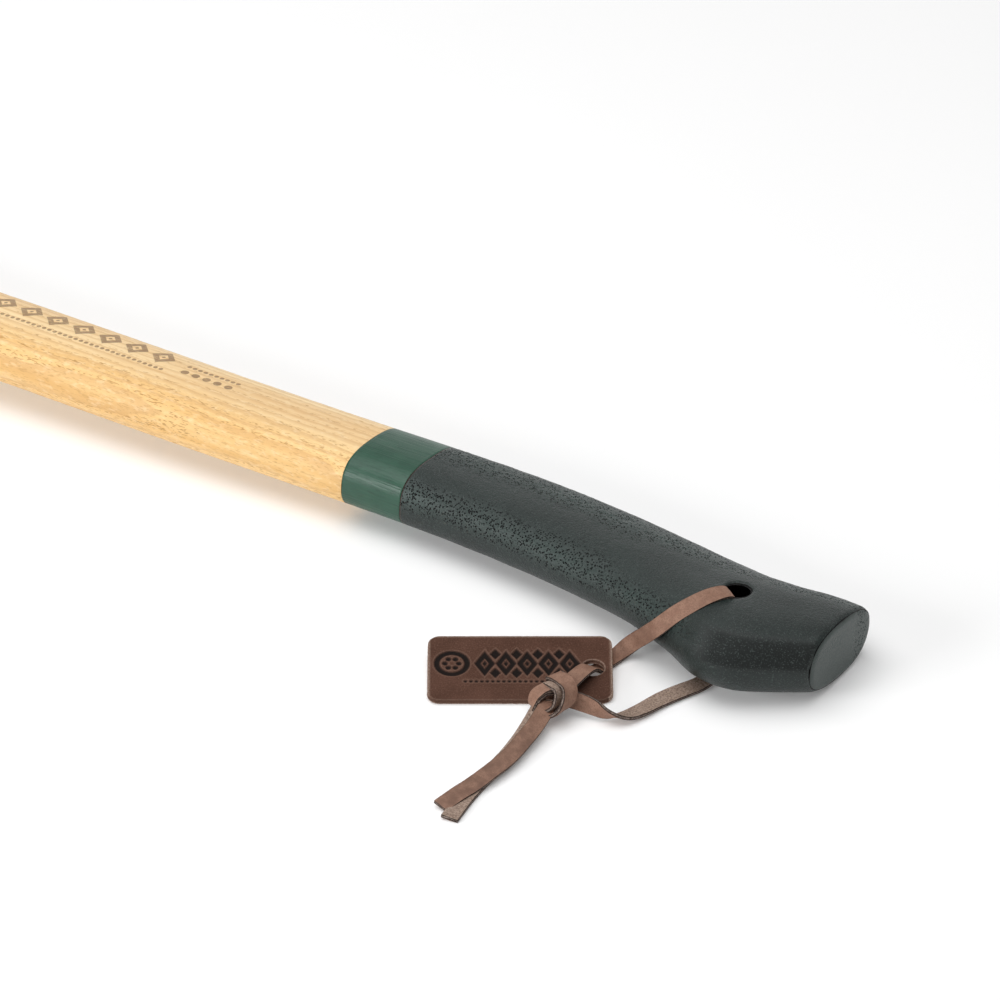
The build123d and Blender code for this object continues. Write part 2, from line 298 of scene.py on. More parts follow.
# -------------------- materials
class Surface:
    """A Principled material and short ways to add nodes to it."""

    def __init__(self, name, **settings):
        self.material = bpy.data.materials.new(name)
        self.material.use_nodes = True
        self.tree = self.material.node_tree
        self.shader = self.tree.nodes["Principled BSDF"]
        for socket, value in settings.items():
            self.shader.inputs[socket.replace("_", " ")].default_value = value

    def node(self, kind, *inputs, **settings):
        made = self.tree.nodes.new(kind)
        for key, value in settings.items():
            setattr(made, key, value)
        for socket, value in inputs:
            self.feed(made.inputs[socket], value)
        return made

    def feed(self, socket, value):
        if isinstance(value, bpy.types.NodeSocket):
            self.tree.links.new(value, socket)
        else:
            socket.default_value = value

    def set(self, socket, value):
        self.feed(self.shader.inputs[socket], value)

    def place(self, axes=None, stretch=(1, 1, 1)):
        """The piece's own coordinates in metres, in other axes if given, with stretch."""
        out = self.node("ShaderNodeTexCoord").outputs["Object"]
        if axes is not None:
            back = axes.inverted()
            move, turn = ("Location", back.translation), ("Rotation", tuple(back.to_euler()))
            out = self.node("ShaderNodeMapping", ("Vector", out), move, turn).outputs["Vector"]
        if stretch != (1, 1, 1):
            scale = ("Scale", stretch)
            out = self.node("ShaderNodeMapping", ("Vector", out), scale).outputs["Vector"]
        return out

    def noise(self, vector, scale, detail=3.0, rough=0.55):
        inputs = ("Vector", vector), ("Scale", scale), ("Detail", detail), ("Roughness", rough)
        return self.node("ShaderNodeTexNoise", *inputs).outputs["Fac"]

    def math(self, operation, a, b=0.0, clamp=False):
        made = self.node("ShaderNodeMath", (0, a), (1, b), operation=operation)
        made.use_clamp = clamp
        return made.outputs[0]

    def times(self, a, b, clamp=False):
        return self.math("MULTIPLY", a, b, clamp)

    def plus(self, a, b):
        return self.math("ADD", a, b)

    def minus(self, a, b):
        return self.math("SUBTRACT", a, b)

    def larger(self, a, b, clamp=False):
        return self.math("MAXIMUM", a, b, clamp)

    def length(self, a, b):
        """The length of a vector with two parts."""
        return self.math("SQRT", self.plus(self.math("POWER", a, 2.0), self.math("POWER", b, 2.0)))

    def span(self, value, low, high, out_low=0.0, out_high=1.0):
        """A smooth step from out_low to out_high as value goes from low to high."""
        inputs = (
            ("Value", value), ("From Min", low), ("From Max", high), ("To Min", out_low),
            ("To Max", out_high),
        )
        made = self.node("ShaderNodeMapRange", *inputs, interpolation_type="SMOOTHSTEP")
        return made.outputs["Result"]

    def mix(self, share, a, b):
        """From colour a to colour b as share goes from 0 to 1."""
        made = self.node("ShaderNodeMix", data_type="RGBA")
        for index, value in ((0, share), (6, a), (7, b)):
            self.feed(made.inputs[index], value)
        return made.outputs[2]

    def mark(self, name):
        """The number that set_mark gave to the piece's points."""
        return self.node("ShaderNodeAttribute", attribute_name=name).outputs["Fac"]

    def parts(self, vector):
        split = self.node("ShaderNodeSeparateXYZ", ("Vector", vector))
        return [split.outputs[axis] for axis in "XYZ"]

    def bump(self, height, depth, below=None):
        """A bump whose full height is depth metres, on top of another bump if given."""
        inputs = [("Height", height), ("Strength", 1.0), ("Distance", depth)]
        if below is not None:
            inputs.append(("Normal", below))
        return self.node("ShaderNodeBump", *inputs).outputs["Normal"]


def colour(red, green, blue):
    return (red, green, blue, 1.0)


def wood_surface(name, painted_bore_shade=False):
    """Oiled ash: rings about an axis beside the haft, with pores drawn out along the grain."""
    s = Surface(name, Roughness=0.45, Specular_IOR_Level=0.3)
    x, y, z = s.parts(s.place(TOOL))
    sway = s.noise(s.place(TOOL, (7, 26, 26)), 1.0, 2.0)
    drift = s.times(s.minus(sway, 0.5), RING_SWAY)
    radius = s.length(s.plus(s.plus(y, RING_CENTRE), drift), z)
    uneven = s.noise(s.place(TOOL, (3, 160, 160)), 1.0, 1.0)
    turn = s.math("FRACT", s.plus(s.times(radius, RINGS_PER_METRE), uneven))
    late = s.times(s.span(turn, 0.45, 0.95), s.span(turn, 1.0, 0.96))
    early = s.span(turn, 0.42, 0.05)
    front = s.span(y, -0.004, -0.016)
    pores = s.noise(s.place(TOOL, (430, 2700, 2700)), 1.0, 1.0, 0.5)
    open_pores = s.plus(s.times(early, 0.9), s.times(front, 0.45))
    dashes = s.times(s.span(pores, 0.57, 0.66), open_pores, clamp=True)
    fibre = s.noise(s.place(TOOL, (34, 950, 950)), 1.0, 4.0, 0.7)
    streak = s.noise(s.place(TOOL, (5, 150, 150)), 1.0, 2.0)
    flake = s.noise(s.place(TOOL, (260, 700, 700)), 1.0, 2.0)
    pale = s.span(streak, 0.34, 0.66)
    # Painted light: the front side gets its own warmer, darker copy of the wood's colours, standing
    # in for warm light bounced onto it.
    upper = s.mix(pale, colour(0.82, 0.55, 0.27), colour(0.95, 0.715, 0.4))
    side = s.mix(pale, colour(0.78, 0.472, 0.176), colour(0.89, 0.608, 0.28))
    base = s.mix(front, upper, side)
    base = s.mix(s.times(late, 0.5), base, colour(0.62, 0.355, 0.145))
    base = s.mix(s.span(fibre, 0.4, 0.75, 0.0, 0.34), base, colour(0.72, 0.45, 0.19))
    base = s.mix(s.span(flake, 0.5, 0.72, 0.0, 0.3), base, colour(0.95, 0.76, 0.48))
    base = s.mix(s.times(dashes, 0.75), base, colour(0.48, 0.23, 0.06))
    burn = burnt_mark(s, x, y, z)
    base = s.mix(s.times(burn, 0.72), base, colour(0.17, 0.085, 0.036))
    if painted_bore_shade:
        # Painted shade: from the band's start on, the wood is nearly black and made metallic, so
        # that the bore's depth shows dark.
        inside = s.span(x, BAND_START, BAND_START + 0.001)
        base = s.mix(inside, base, colour(0.0015, 0.002, 0.0018))
        s.set("Metallic", inside)       # so that the depth of the bore mirrors no light
    s.set("Base Color", base)
    s.set("Roughness", s.span(fibre, 0.2, 0.8, 0.4, 0.56))
    rough = s.bump(fibre, 0.00007)
    rough = s.bump(s.minus(1.0, dashes), 0.00012, rough)
    s.set("Normal", s.bump(s.minus(1.0, burn), 0.00008, rough))
    return s.material


def burnt_mark(s, x, y, z):
    """An ornament burnt into the upper face: lozenges over dots, then two short rows of dots."""

    def near(value, centre):
        return s.math("ABSOLUTE", s.minus(value, centre))

    def repeat(pitch):
        step = s.math("FRACT", s.math("DIVIDE", s.minus(x, MARK_START), pitch))
        return s.times(near(step, 0.5), pitch)

    def between(low, high):
        return s.times(s.math("GREATER_THAN", x, low), s.math("LESS_THAN", x, high))

    def dots(below, pitch, radius):
        gap = s.length(repeat(pitch), near(y, MARK_Y - below))
        return s.span(gap, radius + 0.0001, radius - 0.0001)

    along = s.math("DIVIDE", repeat(MARK_PITCH), MARK_LOZENGE[0])
    lozenge = s.plus(along, s.math("DIVIDE", near(y, MARK_Y), MARK_LOZENGE[1]))
    shape = s.times(s.span(lozenge, 1.04, 0.96), s.span(lozenge, 0.4, 0.48))
    shape = s.larger(shape, s.span(lozenge, 0.2, 0.12))
    row = s.larger(shape, dots(*LONG_DOTS))
    row = s.times(row, between(MARK_START, MARK_START + 8 * MARK_PITCH))
    short = s.larger(dots(*UPPER_DOTS), dots(*LOWER_DOTS))
    ends = MARK_START + 8.4 * MARK_PITCH, MARK_START + 10.4 * MARK_PITCH
    row = s.larger(row, s.times(short, between(*ends)))
    worn = s.noise(s.place(TOOL, (500, 1500, 1500)), 1.0, 2.0)
    row = s.times(row, s.span(worn, 0.25, 0.5, 0.55, 1.0))
    return s.times(row, s.math("GREATER_THAN", z, MARK_ABOVE), clamp=True)


def band_surface():
    """Satin green lacquer through which the grain just shows."""
    s = Surface("green_lacquer", Roughness=0.34, Specular_IOR_Level=0.5)
    fibre = s.noise(s.place(TOOL, (45, 1300, 1300)), 1.0, 3.0, 0.6)
    blotch = s.noise(s.place(), 120.0, 2.0)
    pores = s.noise(s.place(TOOL, (300, 2700, 2700)), 1.0, 1.0, 0.5)
    base = s.mix(s.span(blotch, 0.3, 0.7), colour(0.013, 0.066, 0.038), colour(0.019, 0.08, 0.047))
    base = s.mix(s.span(fibre, 0.5, 0.72, 0.0, 0.55), base, colour(0.01, 0.05, 0.03))
    base = s.mix(s.span(pores, 0.6, 0.68, 0.0, 0.5), base, colour(0.01, 0.04, 0.026))
    s.set("Base Color", base)
    s.set("Roughness", s.span(fibre, 0.3, 0.8, 0.34, 0.48))
    s.set("Normal", s.bump(fibre, 0.00014))
    return s.material


def grip_surface():
    """Dark green-black dip coating, granular, with pits that gather in bands, which are painted
    lighter as highlight and sheen.
    """
    s = Surface("grip_coating", Roughness=0.5, Specular_IOR_Level=0.42)
    own = s.place()
    x = s.parts(own)[0]
    pits_and_sheen_band, shaded = s.mark("pits_and_sheen"), s.mark("shaded")
    grain = s.noise(own, 1900.0, 2.0, 0.65)
    peel = s.noise(own, 900.0, 2.0, 0.6)
    pits = s.node("ShaderNodeTexVoronoi", ("Vector", own), ("Scale", 1200.0)).outputs["Distance"]
    some = s.noise(own, 520.0, 1.0)
    pit = s.times(s.span(pits, 0.41, 0.28), s.span(some, 0.32, 0.42))
    pit = s.times(pit, s.span(pits_and_sheen_band, 0.12, 0.4))
    fade = s.noise(own, 60.0, 3.0)
    tones = colour(0.0036, 0.0086, 0.0074), colour(0.0068, 0.0136, 0.012)
    base = s.mix(s.span(fade, 0.3, 0.7), *tones)
    # Painted highlight and sheen: the bands with pits along the front and near the back edge are
    # made lighter.
    base = s.mix(s.times(pits_and_sheen_band, 0.7), base, colour(0.048, 0.074, 0.066))
    # Painted shade: the knob's front flank under its ridge is made nearly black.
    base = s.mix(s.times(shaded, 0.92), base, colour(0.002, 0.004, 0.0036))
    base = s.mix(s.span(grain, 0.56, 0.66, 0.0, 0.7), base, colour(0.056, 0.074, 0.068))
    base = s.mix(pit, base, colour(0.0005, 0.001, 0.0009))
    # Painted light: towards the butt's end face the coating is made lighter, as lit from that side.
    end = s.span(x, BUTT_END - 0.0012, BUTT_END - 0.0001)
    base = s.mix(s.times(end, 0.8), base, colour(0.036, 0.054, 0.048))
    edge = s.span(x, BAND_END + 0.0007, BAND_END + 0.0001)
    base = s.mix(edge, base, colour(0.035, 0.014, 0.01))
    # Painted shade: the lip of the bore's mouth is made nearly black, as the shade of the hole.
    mouth = s.span(s.mark("mouth"), 0.5, 0.75)
    s.set("Base Color", s.mix(mouth, base, colour(0.0008, 0.0012, 0.0011)))
    dull = s.larger(s.times(pit, 0.98), s.times(shaded, 0.75))
    dull = s.larger(dull, mouth)
    s.set("Roughness", s.larger(s.span(grain, 0.3, 0.7, 0.32, 0.5), dull))
    calm = s.minus(1.0, s.times(end, 0.85))
    fine = s.bump(s.times(grain, calm), 0.0002)
    fine = s.bump(s.times(peel, calm), 0.00014, fine)
    s.set("Normal", s.bump(s.minus(1.0, pit), 0.0005, fine))
    return s.material


def lace_surface():
    """Split leather lace: a smooth tan side, a grey suede side and dark cut edges."""
    s = Surface("lace_leather", Roughness=0.75, Specular_IOR_Level=0.25)
    side = s.mark("side")
    own = s.place()
    grain = s.noise(own, 2400.0, 3.0, 0.7)
    cloud = s.noise(own, 300.0, 3.0)
    fuzz = s.noise(own, 1500.0, 4.0, 0.8)
    tones = colour(0.25, 0.136, 0.093), colour(0.335, 0.194, 0.136)
    smooth = s.mix(s.span(cloud, 0.3, 0.7), *tones)
    smooth = s.mix(s.span(grain, 0.42, 0.66, 0.0, 0.6), smooth, colour(0.15, 0.08, 0.055))
    y = s.parts(own)[1]
    # Painted shade: towards the tails' ends, past y = -0.045, the smooth side is darkened in
    # clouds.
    tail_shade = s.times(s.span(y, -0.045, -0.065), s.span(cloud, 0.2, 0.7, 0.7, 0.2))
    smooth = s.mix(tail_shade, smooth, colour(0.15, 0.088, 0.065))
    suede = s.mix(s.span(fuzz, 0.35, 0.65), colour(0.19, 0.128, 0.096), colour(0.43, 0.325, 0.262))
    cut = s.mix(s.span(fuzz, 0.38, 0.64), colour(0.075, 0.052, 0.043), colour(0.3, 0.235, 0.2))
    line_tones = colour(0.022, 0.014, 0.011), colour(0.1, 0.07, 0.055)
    line = s.mix(s.span(fuzz, 0.42, 0.7, 0.0, 0.5), *line_tones)
    body = s.mix(s.span(s.math("ABSOLUTE", side), 0.2, 0.42), cut, line)
    body = s.mix(s.span(side, -0.7, -0.92), body, suede)
    body = s.mix(s.span(side, 0.7, 0.92), body, smooth)
    s.set("Base Color", body)
    s.set("Roughness", s.span(side, 0.5, 0.9, 0.92, 0.66))
    fine = s.bump(grain, 0.00008)
    s.set("Normal", s.bump(s.times(fuzz, s.span(side, 0.9, 0.5)), 0.00025, fine))
    return s.material


def tag_surface():
    """Dark brown vegetable-tanned leather with a pressed ornament and a pale frayed rim."""
    s = Surface("tag_leather", Roughness=0.8, Specular_IOR_Level=0.12)
    own = s.place()
    rim, pressed, halo = s.mark("rim"), s.mark("pressed"), s.mark("halo")
    grain = s.noise(own, 2000.0, 4.0, 0.75)
    cloud = s.noise(own, 90.0, 3.0)
    fuzz = s.noise(own, 2200.0, 4.0, 0.8)
    face = s.mix(s.span(cloud, 0.3, 0.7), colour(0.074, 0.034, 0.022), colour(0.098, 0.046, 0.031))
    face = s.mix(s.span(grain, 0.5, 0.68, 0.0, 0.55), face, colour(0.185, 0.104, 0.076))
    face = s.mix(s.span(grain, 0.46, 0.34, 0.0, 0.5), face, colour(0.038, 0.018, 0.013))
    face = s.mix(s.times(halo, 0.3), face, colour(0.26, 0.16, 0.12))
    face = s.mix(pressed, face, colour(0.01, 0.0065, 0.0055))
    pale = s.mix(s.span(fuzz, 0.35, 0.65), colour(0.24, 0.145, 0.105), colour(0.56, 0.43, 0.35))
    frayed = s.times(rim, s.span(fuzz, 0.3, 0.55, 0.6, 1.0))
    s.set("Base Color", s.mix(frayed, face, pale))
    s.set("Roughness", s.span(grain, 0.3, 0.7, 0.7, 0.86))
    fine = s.bump(grain, 0.00014)
    s.set("Normal", s.bump(s.times(fuzz, rim), 0.00025, fine))
    return s.material


def steel_surface(name, forged=True):
    """Forged steel under dark lacquer, ground bright on the poll face and towards the edge."""
    s = Surface(name, Metallic=1.0, Roughness=0.35)
    tool = s.place(TOOL)
    y = s.parts(tool)[1]
    brushed = s.noise(s.place(TOOL, (300, 60, 2600)), 1.0, 3.0, 0.6)
    hammer = s.noise(tool, 160.0, 2.0, 0.5)
    bright = s.mix(s.span(brushed, 0.3, 0.7), colour(0.42, 0.43, 0.45), colour(0.62, 0.63, 0.65))
    if not forged:
        s.set("Base Color", bright)
        s.set("Roughness", s.span(brushed, 0.3, 0.7, 0.28, 0.42))
        return s.material
    spots = s.noise(tool, 700.0, 4.0, 0.7)
    scale_tones = colour(0.03, 0.032, 0.034), colour(0.055, 0.057, 0.06)
    scale = s.mix(s.span(spots, 0.35, 0.7), *scale_tones)
    wander = s.times(s.minus(s.noise(tool, 90.0, 2.0), 0.5), 0.006)
    reach = s.plus(y, wander)
    ground = s.larger(s.span(reach, *EDGE_GROUND), s.span(reach, *POLL_GROUND), clamp=True)
    s.set("Base Color", s.mix(ground, scale, bright))
    dull = s.span(spots, 0.3, 0.7, 0.42, 0.58)
    smooth = s.span(brushed, 0.3, 0.7, 0.22, 0.34)
    s.set("Roughness", s.plus(s.times(dull, s.minus(1.0, ground)), s.times(smooth, ground)))
    dents = s.times(s.minus(1.0, ground), hammer)
    fine = s.bump(dents, 0.00035)
    s.set("Normal", s.bump(s.times(brushed, ground), 0.00003, fine))
    return s.material


# -------------------- grip and band
def haft_row(x):
    """Front, back, thickness and squareness of the haft at x, on a smooth curve."""
    rows = np.array(HAFT)
    at = rows[:, 0]
    slopes = np.gradient(rows[:, 1:], at, axis=0)
    i = int(np.clip(np.searchsorted(at, x) - 1, 0, len(at) - 2))
    width = at[i + 1] - at[i]
    t = (x - at[i]) / width
    a, b = rows[i, 1:], rows[i + 1, 1:]
    da, db = slopes[i] * width, slopes[i + 1] * width
    rise = t * t * (3 - 2 * t)
    return a + (b - a) * rise + da * t * (1 - t) ** 2 - db * t * t * (1 - t)


def even_ring(points, count):
    """The closed line again, with count points evenly spaced along it."""
    loop = np.vstack([points, points[:1]])
    steps = np.linalg.norm(np.diff(loop, axis=0), axis=1)
    along = np.concatenate([[0], np.cumsum(steps)])
    at = np.linspace(0, along[-1], count, endpoint=False)
    return np.stack([np.interp(at, along, loop[:, k]) for k in range(points.shape[1])], axis=1)


def haft_ring(x, count, inset=0.0):
    """An even ring of points round the haft at x."""
    front, back, thick, square = haft_row(x)
    middle, deep, wide = (front + back) / 2, (back - front) / 2 - inset, thick / 2 - inset
    turn = np.linspace(0, math.tau, 6 * count, endpoint=False)
    y = middle + deep * np.sign(np.cos(turn)) * np.abs(np.cos(turn)) ** (2 / square)
    z = wide * np.sign(np.sin(turn)) * np.abs(np.sin(turn)) ** (2 / square)
    ring = even_ring(np.stack([y, z], axis=1), count)
    return np.column_stack([np.full(count, x), ring])


def face_height(x, y):
    """How far the haft's flat sides stand from its middle plane at (x, y)."""
    front, back, thick, square = haft_row(x)
    share = min(abs(y - (front + back) / 2) / ((back - front) / 2), 1.0)
    return thick / 2 * (1 - share**square) ** (1 / square)


def on_section(x, y, z):
    """A point's place on the haft's section: 0 at the front to 1 at the back, and -1 to 1 up."""
    front, back, thick, _ = haft_row(min(max(x, HAFT[0][0]), BUTT_END))
    return (y - front) / (back - front), z / (thick / 2)


def shaded_share(x, y, z):
    """Where painted shade makes the knob's front flank nearly black: under its ridge, above its
    underside.
    """
    share, up = on_section(x, y, z)
    knob = clipped((x - 0.148) / 0.014) * clipped((BUTT_END - x) / 0.0015)
    flank = clipped((0.17 - share) / 0.05)
    middle, half, fade = 0.44, 0.26, 0.15
    return knob * flank * math.exp(-(max(abs(up - middle) - half, 0.0) / fade) ** 2)


def from_bore(point):
    """How far a point is from the bore's axis, for points above and below the bore."""
    x, y, z = point
    return math.hypot(x - BORE_X, y - BORE_Y) if abs(z) > BORE_HALF else 1.0


def round_the_bore(point, on_rim):
    """Draws the surface near the bore outwards, so that a round mouth with a rounded lip opens."""
    x, y, z = point
    away = from_bore(point)
    if away > BORE_SPREAD:
        return point
    stretch = (BORE_SPREAD - BORE_RADIUS) / (BORE_SPREAD - BORE_CORE)
    opened = BORE_RADIUS + (0.0 if on_rim else max(away - BORE_CORE, 0.0) * stretch)
    ratio = opened / max(away, 1e-6)
    tall = 1 + (BORE_TALL - 1) * (BORE_SPREAD - opened) / (BORE_SPREAD - BORE_RADIUS)
    x, y = BORE_X + (x - BORE_X) * ratio, BORE_Y + (y - BORE_Y) * ratio * tall
    lip = max(0.0, 1 - (opened - BORE_RADIUS) / BORE_LIP)
    sink = BORE_LIP * (1 - math.sqrt(max(0.0, 1 - lip**2)))
    return (x, y, math.copysign(face_height(x, y) - sink, z))


def normals_of(points, faces):
    """Each point's own outward direction."""
    mesh = bpy.data.meshes.new("normals")
    mesh.from_pydata([tuple(p) for p in points], [], faces)
    found = np.zeros(len(points) * 3, np.float32)
    mesh.vertices.foreach_get("normal", found)
    bpy.data.meshes.remove(mesh)
    return found.reshape(-1, 3).astype(float)


def pits_and_sheen_share(x, y, z):
    """Where the coating has pits and is painted lighter as highlight and sheen: along the front,
    near the back edge, least on the knob.
    """
    share, up = on_section(x, y, z)
    along_front = math.exp(-(((up - 0.42) / 0.4) ** 2)) if share < 0.5 else 0.0
    knob = clipped((x - 0.105) / 0.05)
    spread = 0.19 - 0.08 * knob
    along_back = 0.9 * math.exp(-(((share - 0.7 - 0.12 * knob) / spread) ** 2))
    patches = 0.85 + 0.6 * noise.noise(Vector((x * 45, y * 90, z * 90)))
    along = along_front * (1 - 0.8 * knob) + along_back * (1 - 0.4 * knob)
    return clipped(along * patches)


def grip_relief(points, pits_and_sheen):
    """How far the grain, the slow swell and the pits lift each point of the coating."""
    lift = np.zeros(len(points))
    for i, (p, share) in enumerate(zip(points, pits_and_sheen)):
        spot = Vector(p)
        grain = noise.noise(spot * GRAIN_FINE) * 0.6 + noise.noise(spot * GRAIN_COARSE) * 0.6
        swell = noise.noise(spot * SWELL_SCALE)
        calm = min(1.0, (p[0] - BAND_END) / 0.002) * (0.35 if p[0] > BUTT_END - 0.0002 else 1.0)
        pit = max(0.0, noise.noise(spot * PIT_SCALE + Vector((7, 3, 1))) - 0.18) * share
        grain_height = GRAIN_HEIGHT + GRAIN_IN_PITS * share
        lift[i] = calm * (grain * grain_height + swell * SWELL_HEIGHT - pit * PIT_DEPTH)
    return lift


def drop_loose_points(piece):
    """Removes the points that no face uses."""
    clean = bmesh.new()
    clean.from_mesh(piece.data)
    loose = [v for v in clean.verts if not v.link_faces]
    bmesh.ops.delete(clean, geom=loose, context="VERTS")
    clean.to_mesh(piece.data)
    clean.free()


def make_grip():
    """The coating from the band round the knob, with the bore's two mouths, as a thin wall."""
    flat_end = BUTT_END - RIM_ROUND
    xs = np.linspace(BAND_END, flat_end, int((flat_end - BAND_END) / GRIP_STEP))
    rings = [haft_ring(x, GRIP_AROUND) for x in xs]
    for turn in np.linspace(0, math.pi / 2, RIM_RINGS + 1)[1:]:
        x = BUTT_END - RIM_ROUND * (1 - math.sin(turn))
        rings.append(haft_ring(x, GRIP_AROUND, RIM_ROUND * (1 - math.cos(turn))))
    rim = rings[-1]
    centre = rim.mean(axis=0)
    for share in np.linspace(1, 0, FACE_RINGS)[1:-1]:
        rings.append(centre + (rim - centre) * share)
    points = np.vstack(rings + [centre[None]])
    faces = tube_faces(len(rings), GRIP_AROUND, closed_ends=False)
    last = (len(rings) - 1) * GRIP_AROUND
    tip = len(points) - 1
    faces += [(last + j, last + (j + 1) % GRIP_AROUND, tip) for j in range(GRIP_AROUND)]
    near = np.array([from_bore(p) for p in points])
    cut = [f for f in faces if min(near[i] for i in f) < BORE_CORE]
    faces = [f for f in faces if min(near[i] for i in f) >= BORE_CORE]
    rim_points = {i for f in cut for i in f}
    points = np.array([round_the_bore(p, i in rim_points) for i, p in enumerate(points)])
    normals = normals_of(points, faces)
    pits_and_sheen = np.array([pits_and_sheen_share(*p) for p in points])
    lift = grip_relief(points, pits_and_sheen)
    lift -= COAT_SINK + BORE_SINK * (near < BORE_SPREAD * 0.45)
    points = points + normals * lift[:, None]
    grip = make_piece("rough_grip", points, faces, "root", TOOL)
    set_mark(grip, "pits_and_sheen", pits_and_sheen)
    set_mark(grip, "shaded", [shaded_share(*p) for p in points])
    set_mark(grip, "mouth", [float(i in rim_points) for i in range(len(points))])
    drop_loose_points(grip)
    wall = grip.modifiers.new("wall", "SOLIDIFY")
    wall.thickness = COAT
    wall.offset = -1
    grip.data.materials.append(grip_surface())
    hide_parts("grip_coating")


def make_band():
    """A thin lacquer sleeve, its edges softened, flush with the wood and the coating."""
    around, soft, margin, middle_rings = 150, 0.00015, 0.0008, 26
    middle = np.linspace(BAND_START + margin, BAND_END - margin, middle_rings)
    profile = [(BAND_START, soft), (BAND_START + soft, 0.0)]
    profile += [(x, 0.0) for x in middle]
    profile += [(BAND_END - soft, 0.0), (BAND_END, soft)]
    profile += [(BAND_END, COAT), (BAND_START, COAT)]
    rings = [haft_ring(x, around, inset) for x, inset in profile]
    faces = tube_faces(len(rings), around, closed_ends=False)
    last = (len(rings) - 1) * around
    for j in range(around):
        k = (j + 1) % around
        faces.append((last + j, last + k, k, j))
    band = make_piece("green_band", np.vstack(rings), faces, "root", TOOL)
    band.data.materials.append(band_surface())
    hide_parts("colour_band")


# -------------------- lace
def smooth_line(route, steps=14):
    """Points along the smooth curve that has the route's points as its control points."""
    curve = bpy.data.curves.new("route", "CURVE")
    curve.dimensions = "3D"
    curve.resolution_u = steps
    spline = curve.splines.new("NURBS")
    spline.points.add(len(route) - 1)
    for point, place in zip(spline.points, route):
        point.co = (*place, 1.0)
    spline.order_u = 3
    spline.use_endpoint_u = True
    holder = bpy.data.objects.new("route", curve)
    mesh = bpy.data.meshes.new_from_object(holder)
    line = np.array([v.co for v in mesh.vertices], float)
    bpy.data.objects.remove(holder)
    bpy.data.curves.remove(curve)
    bpy.data.meshes.remove(mesh)
    return line


def facing_along(ways, count):
    """The smooth side's direction at each point of the curve, from those at its control points."""
    n = len(ways)
    at = np.concatenate([[0], (np.arange(1, n - 1) - 0.5) / (n - 2), [1]])
    t = np.linspace(0, 1, count)
    ways = np.array([Vector(w).normalized() for w in ways])
    return np.stack([np.interp(t, at, ways[:, k]) for k in range(3)], axis=1)


def strip_section():
    """The lace's section: (across, through, side), with side 1 on the smooth face, -1 on suede."""
    half, thin, corner = LACE_WIDTH / 2, LACE_THICK / 2, 0.0002
    soft = corner * (1 - math.sqrt(0.5))
    flat = np.linspace(-1, 1, 11) * (half - corner)
    edge = np.linspace(1, -1, 5)        # down the cut side
    top = [(w, thin - LACE_CROWN * (w / half) ** 2, 1.0) for w in flat]
    wall = [(half - soft, thin - soft, 0.75)]
    wall += [(half, (thin - corner) * t, 0.5 * t) for t in edge]
    wall += [(half - soft, soft - thin, -0.75)]
    bottom = [(-w, -thin, -1.0) for w in flat]
    return np.array(top + wall + bottom + [(-w, t, side) for w, t, side in reversed(wall)])


def strip_mesh(line, facing):
    """Points, faces and side marks of a flat lace that follows a line."""
    section = strip_section()
    along = np.gradient(line, axis=0)
    along /= np.linalg.norm(along, axis=1)[:, None]
    facing = facing - (facing * along).sum(1)[:, None] * along
    facing /= np.linalg.norm(facing, axis=1)[:, None]
    across = np.cross(along, facing)
    points = []
    for place, out, side_way in zip(line, facing, across):
        for w, t, side in section:
            p = place + side_way * w + out * t
            ragged = noise.noise(Vector(p) * EDGE_RAG[0]) * EDGE_RAG[1] * (1 - abs(side))
            rough = noise.noise(Vector(p) * SIDE_RAG[0]) * SIDE_RAG[1]
            sideways = side_way * (ragged * math.copysign(1, w))
            points.append(p + sideways + out * (rough * math.copysign(1, t)))
    faces = tube_faces(len(line), len(section))
    marks = np.tile(section[:, 2], len(line))
    points = np.array(points)
    points[:, 2] = np.maximum(points[:, 2], 0.0)        # none is below the floor
    return points, faces, marks


def make_strip(name, rows, node, material):
    """One stretch of lace in place of its CAD node, and the line along its middle."""
    places, ways = zip(*rows)
    line = smooth_line(places)
    points, faces, marks = strip_mesh(line, facing_along(ways, len(line)))
    strip = make_piece(name, points, faces, "root")
    set_mark(strip, "side", marks)
    strip.data.materials.append(material)
    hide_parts(node)
    return strip, line


def make_knot(material):
    """An overhand knot in the doubled lace: the second lace lies inside the first."""
    places, ways = zip(*KNOT_ROUTE)
    offset = Vector(KNOT_OFFSET)
    inner = [KNOT_CENTRE + (Vector(p) - KNOT_CENTRE) * KNOT_INNER + offset for p in places]
    turned = [tuple(-Vector(way)) for way in ways]
    all_points, all_faces, all_marks = [], [], []
    for route, route_ways in ((places, ways), (inner, turned)):
        line = smooth_line(route)
        points, faces, marks = strip_mesh(line, facing_along(route_ways, len(line)))
        first = sum(len(p) for p in all_points)
        all_points.append(points)
        all_faces += [tuple(i + first for i in face) for face in faces]
        all_marks.append(marks)
    knot = make_piece("overhand_knot", np.vstack(all_points), all_faces, "root")
    set_mark(knot, "side", np.concatenate(all_marks))
    knot.data.materials.append(material)
    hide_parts("lace_knot")
    return knot


def make_lanyard():
    """The knot, the four free stretches of the lace and the one in the bore."""
    material = lace_surface()
    knot = make_knot(material)
    upper, upper_line = make_strip("upper_lace", UPPER_ROUTE, "lace_upper", material)
    lower, lower_line = make_strip("lower_lace", LOWER_ROUTE, "lace_lower", material)
    right, right_line = make_strip("right_lace_tail", RIGHT_TAIL_ROUTE, "lace_tail_right", material)
    left, left_line = make_strip("left_lace_tail", LEFT_TAIL_ROUTE, "lace_tail_left", material)
    middle = tuple((Vector(BORE_LOW) + Vector(BORE_HIGH)) / 2)
    bore_rows = [(BORE_LOW, (0, 1, 0)), (middle, (0.3, 0.9, 0)), (BORE_HIGH, (0.5, 0.85, 0))]
    make_strip("bore_lace", bore_rows, "lace_in_bore", material)


